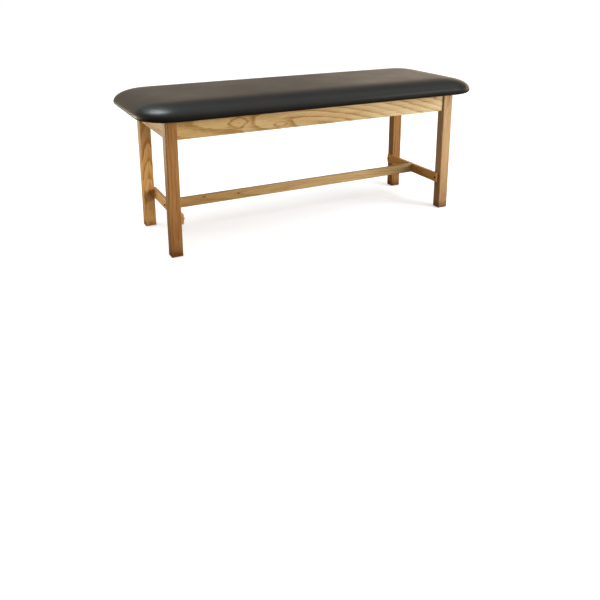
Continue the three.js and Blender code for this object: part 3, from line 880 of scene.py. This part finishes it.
def socket_bolts(material):
    """Black button-head bolts through the braces, with a hexagon socket."""
    names = [f"leg_bolt_{corner}" for corner in CORNERS] + ["left_centre_bolt", "right_centre_bolt"]
    flat = SOCKET + SOCKET_RIM
    for name in names:
        low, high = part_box(name)
        middle = middle_of(name)
        inwards = name.startswith("leg")
        towards = math.copysign(1, middle.x) * (1 if inwards else -1)
        start = low.x if towards > 0 else high.x
        tip = high.x - low.x
        profile = [(SOCKET_DEPTH, 0), (SOCKET_DEPTH, SOCKET * SOCKET_FLOOR, hexagon),
                   (FINE, SOCKET, hexagon), (0.0, SOCKET + FINE, hexagon), (0.0, flat + FINE / 2)]
        for degrees in (75, 60, 45, 30, 15, 4):
            angle = math.radians(degrees)
            height = BOLT_HEAD - BOLT_HEAD * math.sin(angle) * DOME_HEIGHT
            profile.append((height, flat + (BOLT_RIM - flat) * math.cos(angle)))
        profile += [(BOLT_HEAD - FINE / 2, BOLT_RIM), (BOLT_HEAD, BOLT_RIM - 1.5 * FINE),
                    (BOLT_HEAD, BOLT_SHANK), (tip - BOLT_POINT, BOLT_SHANK),
                    (tip, BOLT_TIP), (tip, 0)]
        piece = turned(f"{name}_turned", profile, (start, middle.y, middle.z), (towards, 0, 0))
        stand_in(piece, name, material)


def corner_direction(corner):
    """Level, from a corner towards the table's middle at 45 degrees."""
    side_x = -1 if corner.endswith("left") else 1
    side_y = -1 if corner.startswith("front") else 1
    return Vector((-side_x, -side_y, 0)).normalized()


def mirrored(profile):
    """A closed ring's profile from its upper half: (height, radius, shape) from the hole outwards."""
    lower = [(-height, *rest) for height, *rest in profile]
    return lower + profile[::-1]


THREAD_PITCH = 0.00125
THREAD_DEPTH = 0.0006
THREAD_LENGTH = 0.0235
THREAD_STEPS = 6  # rings for each turn of the thread
THREAD_RUN_OUT = 0.0005  # between the thread and the plain shank
HANGER_RADIUS = 0.004
HANGER_ROOT = 0.0034  # radius of the end in the leg
HANGER_TAPER = 0.004  # length of that end
HANGER_TIP = 0.0032  # radius of the threaded end
HANGER_HOLE = 0.0043  # radius of the hole in its washer and nut
WASHER_HALF = 0.0008  # half its thickness
WASHER_RADIUS = 0.010
NUT_HALF = 0.00325  # half its height
NUT_CHAMFER = 0.0026  # where the chamfer meets the corners cut down to NUT_ROUND
NUT_FLAT = 0.0018  # where the corners are whole
NUT_FACE = 0.0063  # this and the next two are radii
NUT_ROUND = 0.0071
NUT_CORNER = 0.0075


def hanger_bolts(zinc):
    """Hanger bolts with a machine thread where they pass the nut, washers and chamfered nuts."""
    washer = mirrored([(WASHER_HALF, HANGER_HOLE), (WASHER_HALF, WASHER_RADIUS - FINE),
                       (WASHER_HALF - FINE, WASHER_RADIUS)])
    nut = mirrored([(NUT_HALF, HANGER_HOLE), (NUT_HALF, NUT_FACE),
                    (NUT_CHAMFER, NUT_CORNER, chamfered(NUT_ROUND)), (NUT_FLAT, NUT_CORNER, hexagon)])
    for corner in CORNERS:
        direction = corner_direction(corner)
        name = f"hanger_bolt_{corner}"
        middle = middle_of(name)
        reach = [vertex.co.dot(direction) for vertex in frame["nodes"][name].data.vertices]
        offset = middle.dot(direction)
        start, end = min(reach) - offset, max(reach) - offset
        profile = [(start, 0), (start, HANGER_ROOT), (start + HANGER_TAPER, HANGER_RADIUS),
                   (end - THREAD_LENGTH - THREAD_RUN_OUT, HANGER_RADIUS)]
        pitch = THREAD_PITCH / THREAD_STEPS
        for step in range(int(THREAD_LENGTH / pitch)):
            profile.append((end - THREAD_LENGTH + step * pitch, HANGER_RADIUS, thread_at(step)))
        profile += [(end, HANGER_TIP), (end, 0)]
        piece = turned(f"{name}_turned", profile, middle, direction, turns=THREAD_TURNS)
        stand_in(piece, name, zinc)
        for kind, ring in (("washer", washer), ("nut", nut)):
            name = f"hanger_{kind}_{corner}"
            piece = turned(f"{name}_turned", ring, middle_of(name), direction, closed=True)
            stand_in(piece, name, zinc)


def thread_at(step):
    """A circle cut by the thread, which turns on by 1 / THREAD_STEPS of a turn each step."""
    def shape(angle, radius):
        turn = (step / THREAD_STEPS - angle / (2 * math.pi)) % 1
        return radius - THREAD_DEPTH * abs(2 * turn - 1)
    return shape


def chamfered(limit):
    """A hexagon whose corners are cut down to a circle."""
    def shape(angle, radius):
        return min(limit, hexagon(angle, radius))
    return shape


RECESS = 0.0029
RECESS_DEPTH = 0.0018
RECESS_FLOOR = 0.0008  # this and the next two are radii
SCREW_HEAD = 0.0046
SCREW_SHANK = 0.0022
SCREW_EDGE = 0.0003  # the rim of its head
SCREW_HEAD_HEIGHT = 0.0028
SCREW_POINT = 0.006


def panel_screws(zinc):
    """Countersunk screws with a cross recess, heads down under the bearers."""
    for place in ("left", "middle", "right"):
        for side in ("front", "rear"):
            name = f"panel_screw_{place}_{side}"
            low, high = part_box(name)
            middle = middle_of(name)
            length = high.z - low.z
            profile = [(RECESS_DEPTH, 0), (RECESS_DEPTH, RECESS_FLOOR), (FINE, RECESS - FINE, cross),
                       (0.0, RECESS, cross), (0.0, SCREW_HEAD - SCREW_EDGE), (SCREW_EDGE, SCREW_HEAD),
                       (SCREW_HEAD_HEIGHT, SCREW_SHANK), (length - SCREW_POINT, SCREW_SHANK), (length, 0)]
            piece = turned(f"{name}_turned", profile, (middle.x, middle.y, low.z), (0, 0, 1))
            stand_in(piece, name, zinc)


GLIDE_HEIGHT = 0.0037
GLIDE_RIM = 0.0125  # its radius
GLIDE_ROUND = 0.0022  # how far in the rim is rounded
GLIDE_DOME = 0.0018  # how far up
NAIL = 0.0015  # its radius
NAIL_SHANK = 0.0165  # the height where its point starts
NAIL_TIP = 0.0195


def glide_plastic():
    nodes = Surface("glide_plastic")
    scuffs = nodes.noise(nodes.place, 420, 3)
    share = nodes.remap(scuffs, 0.45, 0.7, 0, 1)
    shade = nodes.blend(share, (0.022, 0.018, 0.015), (0.07, 0.062, 0.055))
    return nodes.finish(Base_Color=shade, Roughness=nodes.remap(scuffs, 0.3, 0.7, 0.45, 0.65),
                        Normal=nodes.bump(scuffs, 0.00008, 0.4))


def glides():
    """Furniture glides, rounded at the rim, one nailed under each leg."""
    plastic = glide_plastic()
    flat = GLIDE_RIM - GLIDE_ROUND
    profile = [(0, 0), (0, flat)]
    for degrees in (18, 36, 54, 72, 90):
        angle = math.radians(degrees)
        profile.append((GLIDE_DOME * (1 - math.cos(angle)), flat + GLIDE_ROUND * math.sin(angle)))
    profile += [(GLIDE_HEIGHT - 1.5 * FINE, GLIDE_RIM), (GLIDE_HEIGHT, GLIDE_RIM - 2 * FINE),
                (GLIDE_HEIGHT, NAIL), (NAIL_SHANK, NAIL), (NAIL_TIP, 0)]
    for corner in CORNERS:
        name = f"glide_{corner}"
        middle = middle_of(name)
        piece = turned(f"{name}_turned", profile, (middle.x, middle.y, 0), (0, 0, 1))
        stand_in(piece, name, plastic)


def hidden_metal(zinc):
    """The threaded inserts and barrel nuts keep the frame's meshes, deep inside the wood."""
    brass = metal("insert_brass", (0.62, 0.42, 0.13), 0.32, (0.45, 0.28, 0.08))
    for corner in CORNERS:
        paint(f"threaded_insert_{corner}", brass)
    for end in ("left", "right"):
        paint(f"{end}_barrel_nut", zinc)


# ---- stage, lights and camera ----
FLOOR_REACH = 30
FLOOR_LIFT = 0.47  # keeps the seen floor white under soft light
FLOOR_BOUNCE = (0.22, 0.22, 0.22)  # its colour as the rest of the scene gets it
FLOOR_MIRRORED = (0.08, 0.05, 0.025)  # its colour in polished surfaces
WHITE = (1, 1, 1)
FILL = (0.34, 0.29, 0.235)
SET_WALL = (0.70, 0.575, 0.44)
SET_CEILING = (0.135, 0.14, 0.14)


def floor():
    """A pale floor. It throws back less light than it shows, as a sweep lit from below does."""
    corners = [(x * FLOOR_REACH, y * FLOOR_REACH, 0) for x, y in ((-1, -1), (1, -1), (1, 1), (-1, 1))]
    piece = new_object("floor", corners, [(0, 1, 2, 3)])
    nodes = Surface("pale_floor")
    speckle = nodes.noise(nodes.place, 3, 2)
    shade = nodes.blend(speckle, (0.79, 0.83, 0.89), (0.82, 0.86, 0.92))
    unseen = nodes.blend(nodes.rays("Glossy"), FLOOR_BOUNCE, FLOOR_MIRRORED)
    shade = nodes.blend(nodes.rays("Camera"), unseen, shade)
    lift = nodes.math("MULTIPLY", nodes.rays("Camera"), FLOOR_LIFT)
    piece.data.materials.append(nodes.finish(Base_Color=shade, Roughness=0.9, Specular_IOR_Level=0.0,
                                             Emission_Color=WHITE, Emission_Strength=lift))


def set_wall(nodes, x, y, z):
    """A warm wall, bright low down on the right as by a window, and dimmer in front and left."""
    window = nodes.math("MULTIPLY", nodes.remap(x, 0.42, 0.66, 0.0, 2.5, smooth=True),
                        nodes.remap(z, 0.08, 0.27, 1.0, 0.0, smooth=True))
    level = nodes.math("MULTIPLY", nodes.math("ADD", window, 1.0),
                       nodes.remap(y, -0.4, 0.3, 0.3, 1.0, smooth=True))
    level = nodes.math("MULTIPLY", level, nodes.remap(x, -0.5, 0.2, 0.8, 1.0, smooth=True))
    return nodes.blend(1.0, SET_WALL, nodes.join(level, level, level), "MULTIPLY")


def set_ceiling(nodes, x, z):
    """A dark ceiling with a panel of lamps overhead, brightest on the right."""
    lamps = nodes.math("MULTIPLY", nodes.remap(x, 0.40, 0.62, 2.4, 6.5, smooth=True),
                       nodes.remap(z, 0.64, 0.82, 0.0, 1.0, smooth=True))
    lamps = nodes.math("ADD", lamps, 1.0)
    return nodes.blend(1.0, SET_CEILING, nodes.join(lamps, lamps, lamps), "MULTIPLY")


def world():
    """White behind the table, an even fill on it, and a wall and ceiling for its reflections."""
    sky = bpy.data.worlds.new("studio")
    bpy.context.scene.world = sky
    sky.use_nodes = True
    nodes = Nodes(sky.node_tree)
    x, y, z = nodes.split(nodes.coordinates["Generated"])
    upwards = nodes.remap(z, 0.21, 0.50, 0.0, 1.0, smooth=True)
    mirrored = nodes.blend(upwards, set_wall(nodes, x, y, z), set_ceiling(nodes, x, z))
    unseen = nodes.blend(nodes.rays("Glossy"), FILL, mirrored)
    seen = nodes.blend(nodes.rays("Camera"), unseen, WHITE)
    nodes.give(nodes.tree.nodes["Background"].inputs["Color"], seen)


def softbox(name, place, target, width, height, power, tint=WHITE, reflected=True):
    """A lamp panel turned from its place towards a target, out of the camera's sight."""
    lamp = bpy.data.lights.new(name, "AREA")
    lamp.shape = "RECTANGLE"
    lamp.size = width
    lamp.size_y = height
    lamp.energy = power
    lamp.color = tint
    light = bpy.data.objects.new(name, lamp)
    bpy.context.scene.collection.objects.link(light)
    light.location = place
    light.rotation_euler = (Vector(target) - Vector(place)).to_track_quat("-Z", "Y").to_euler()
    light.visible_camera = False
    light.visible_glossy = reflected


def overhead(power, spread, tilt):
    """Light from a wide patch of ceiling, which leaves a soft broad shadow."""
    lamp = bpy.data.lights.new("overhead", "SUN")
    lamp.energy = power
    lamp.angle = math.radians(spread)
    light = bpy.data.objects.new("overhead", lamp)
    bpy.context.scene.collection.objects.link(light)
    light.rotation_euler = (math.radians(tilt), 0, 0)
    light.visible_glossy = False


def lights():
    overhead(power=1.7, spread=70, tilt=10)
    softbox("key", place=(2.9, -3.3, 1.1), target=(0.5, 0, 0.4), width=2.6, height=1.8, power=200,
            tint=(1, 0.98, 0.97), reflected=False)
    softbox("left_wall", place=(-2.0, 1.3, 0.32), target=(-0.9, 0.1, 0.4), width=0.9, height=0.7,
            power=17, tint=(1, 0.86, 0.65))
    softbox("side_sheen", place=(2.75, -2.15, 2.85), target=(0.7, -0.38, 0.75), width=1.4, height=1.3,
            power=13)
    softbox("corner_glint", place=(-1.28, 0.37, 2.6), target=(-0.87, -0.33, 0.76), width=0.72,
            height=0.9, power=24, tint=(0.93, 1, 1.04))


def camera():
    """The photo's view, fitted to the table's edges."""
    lens = bpy.data.cameras.new("camera")
    lens.lens = CAMERA_LENS
    lens.sensor_width = CAMERA_SENSOR
    lens.sensor_fit = "HORIZONTAL"
    lens.shift_y = CAMERA_SHIFT
    eye = bpy.data.objects.new("camera", lens)
    bpy.context.scene.collection.objects.link(eye)
    turn = Matrix.Rotation(math.radians(-CAMERA_TURN), 4, "Z")
    drop = Matrix.Rotation(math.radians(90 - CAMERA_DROP), 4, "X")
    roll = Matrix.Rotation(math.radians(-CAMERA_ROLL), 4, "Z")
    eye.matrix_world = Matrix.Translation(CAMERA_PLACE) @ turn @ drop @ roll
    bpy.context.scene.camera = eye


# ---- assembly ----
camera()
world()
lights()
floor()
bpy.context.scene.view_settings.view_transform = "Standard"

paint_boards()
paint("top_panel", plywood())
padded_top()

zinc = metal("zinc_plate", (0.62, 0.63, 0.65), 0.30, (0.42, 0.43, 0.44))
black = metal("black_oxide", (0.012, 0.012, 0.013), 0.38, (0.05, 0.05, 0.05), metallic=0.7)
hem = staples()
hem.data.materials.append(zinc)
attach(hem, "root")
socket_bolts(black)
hanger_bolts(zinc)
panel_screws(zinc)
glides()
hidden_metal(zinc)
